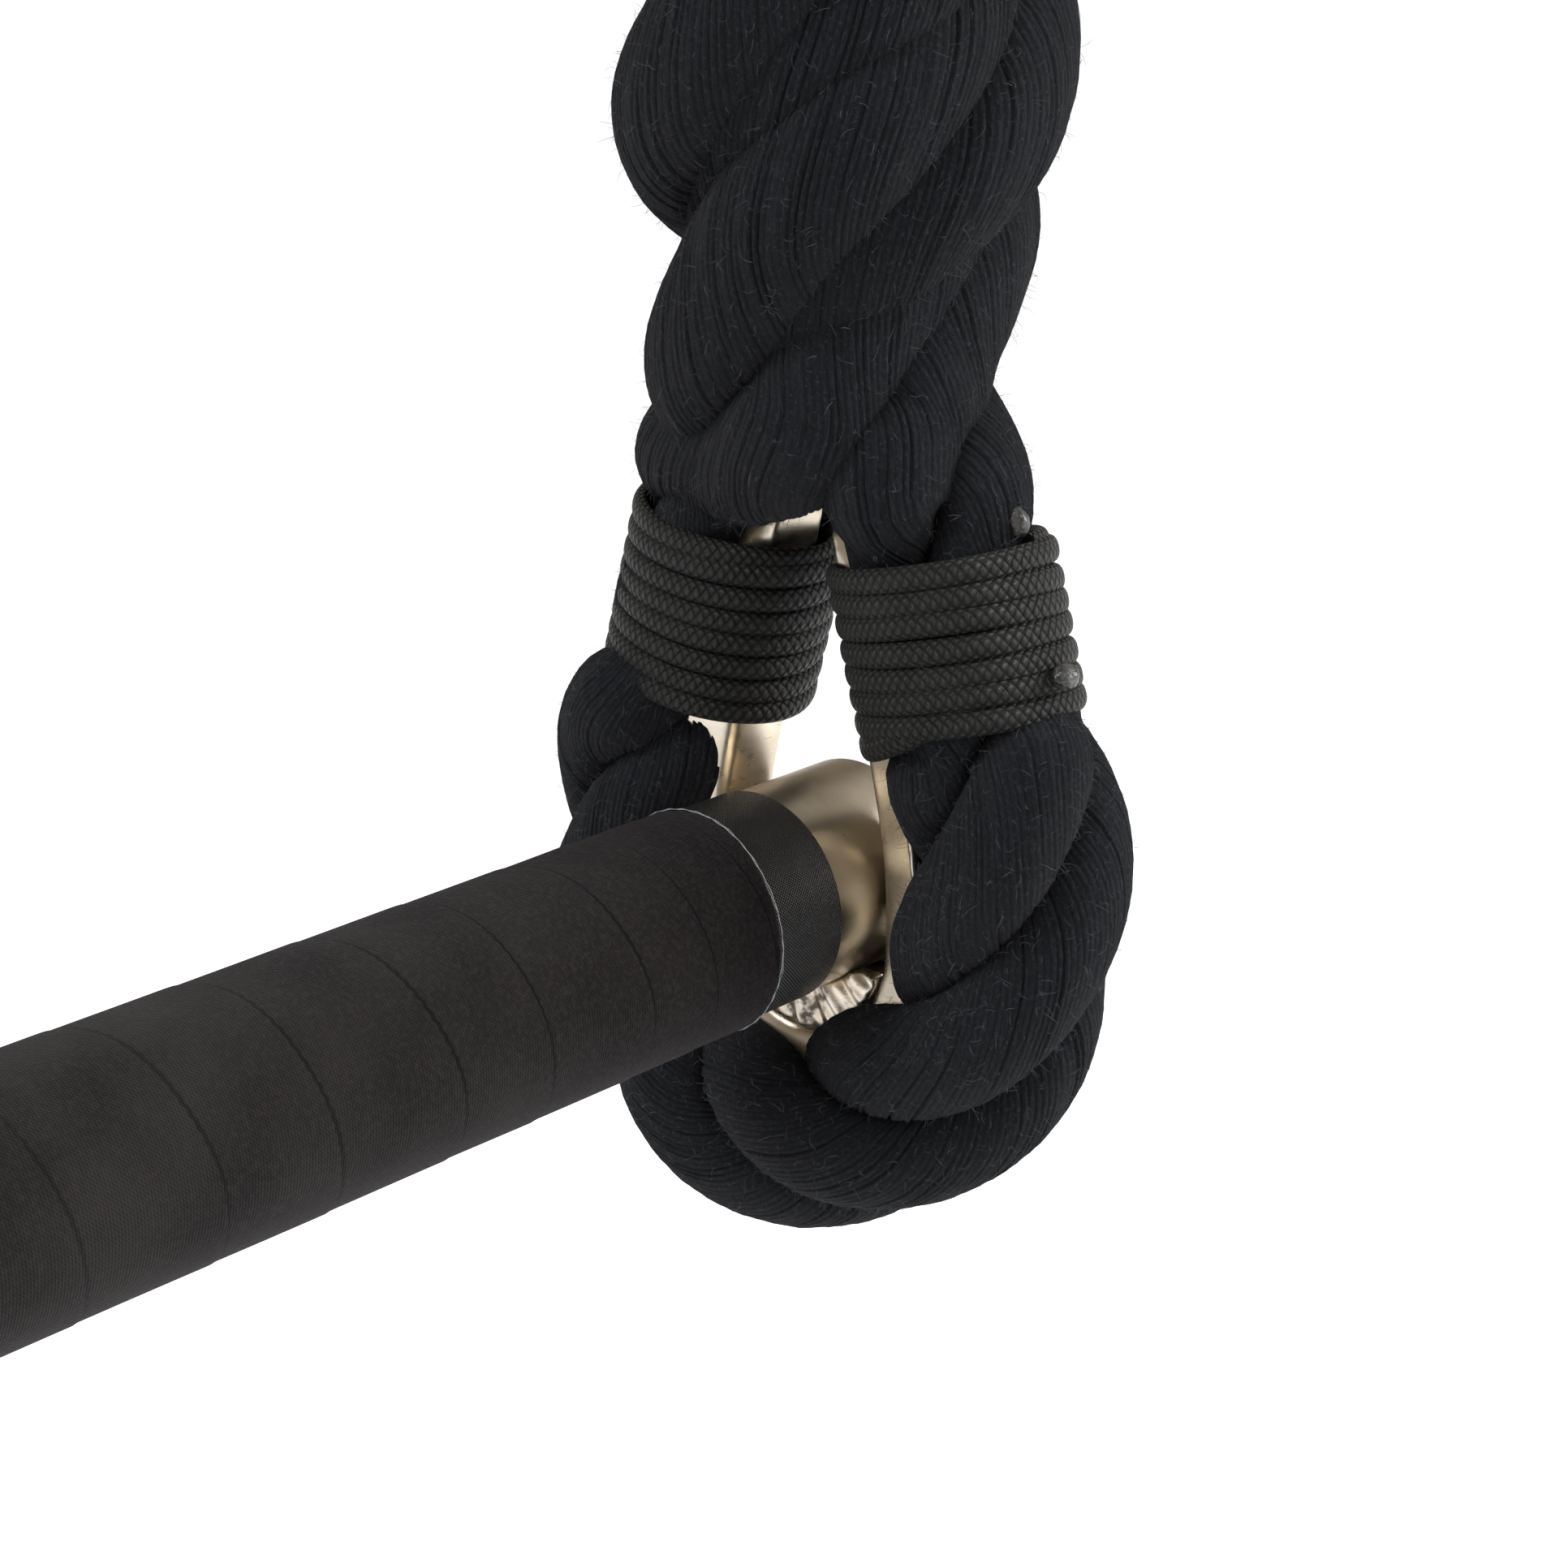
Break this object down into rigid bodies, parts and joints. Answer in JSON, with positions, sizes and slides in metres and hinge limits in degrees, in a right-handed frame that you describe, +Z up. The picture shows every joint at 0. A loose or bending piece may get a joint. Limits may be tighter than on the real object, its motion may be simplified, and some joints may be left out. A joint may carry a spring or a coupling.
{
  "type": "thimble eye",
  "caption": "Trapeze bar end welded into a channel thimble, with a lashed three-strand rope eye and a short spliced strop up to a bow shackle.",
  "frame": {"origin": "where the bar's axis crosses the middle plane of the lower thimble", "axes": "-Y along the bar towards its open end, +X across the eye, +Z up the rope towards the shackle"},
  "size_m": [0.0906, 0.2025, 0.3478],
  "materials": {
    "bar_steel": "satin nickel-grey steel, faintly brushed along the bar",
    "thimble_steel": "satin stainless steel, softly polished edges",
    "weld": "lumpy weld bead with straw and grey heat tint",
    "grip_tape": "brownish black cotton twill tape with lint",
    "band_tape": "glossy coated cloth tape with visible weave",
    "rope": "fuzzy black cotton yarn",
    "whipping_cord": "braided nylon cord with a slight sheen",
    "sealed_cord": "melted and re-set nylon",
    "shackle_steel": "drop-forged, galvanised",
    "pin_steel": "turned and galvanised"
  },
  "bodies": {
    "shackle": {"shackle_bow": "shackle_steel"},
    "pin": {"shackle_pin": "pin_steel"},
    "eye": {"bar_tube": "bar_steel", "bar_end_plug": "bar_steel", "grip_tape": "grip_tape", "tape_end_band": "band_tape", "lower_thimble": "thimble_steel", "upper_thimble": "thimble_steel", "weld_front": "weld", "weld_back": "weld", "lower_rope_eye": "rope", "upper_rope_eye": "rope", "rope_splice": "rope", "lower_whipping_left": "whipping_cord", "lower_whipping_right": "whipping_cord", "upper_whipping_left": "whipping_cord", "upper_whipping_right": "whipping_cord", "lower_cord_ends_left": "sealed_cord", "lower_cord_ends_right": "sealed_cord", "upper_cord_ends_left": "sealed_cord", "upper_cord_ends_right": "sealed_cord"}
  },
  "joints": [
    {"name": "eye_swing", "type": "hinge", "parent": "shackle", "child": "eye", "pos_m": [0, 0, 0.1997], "axis": [0, 1, 0], "range_deg": [-80, 80]},
    {"name": "pin_draw", "type": "slide", "parent": "shackle", "child": "pin", "axis": [0, -1, 0], "range_m": [0, 0.066]}
  ]
}
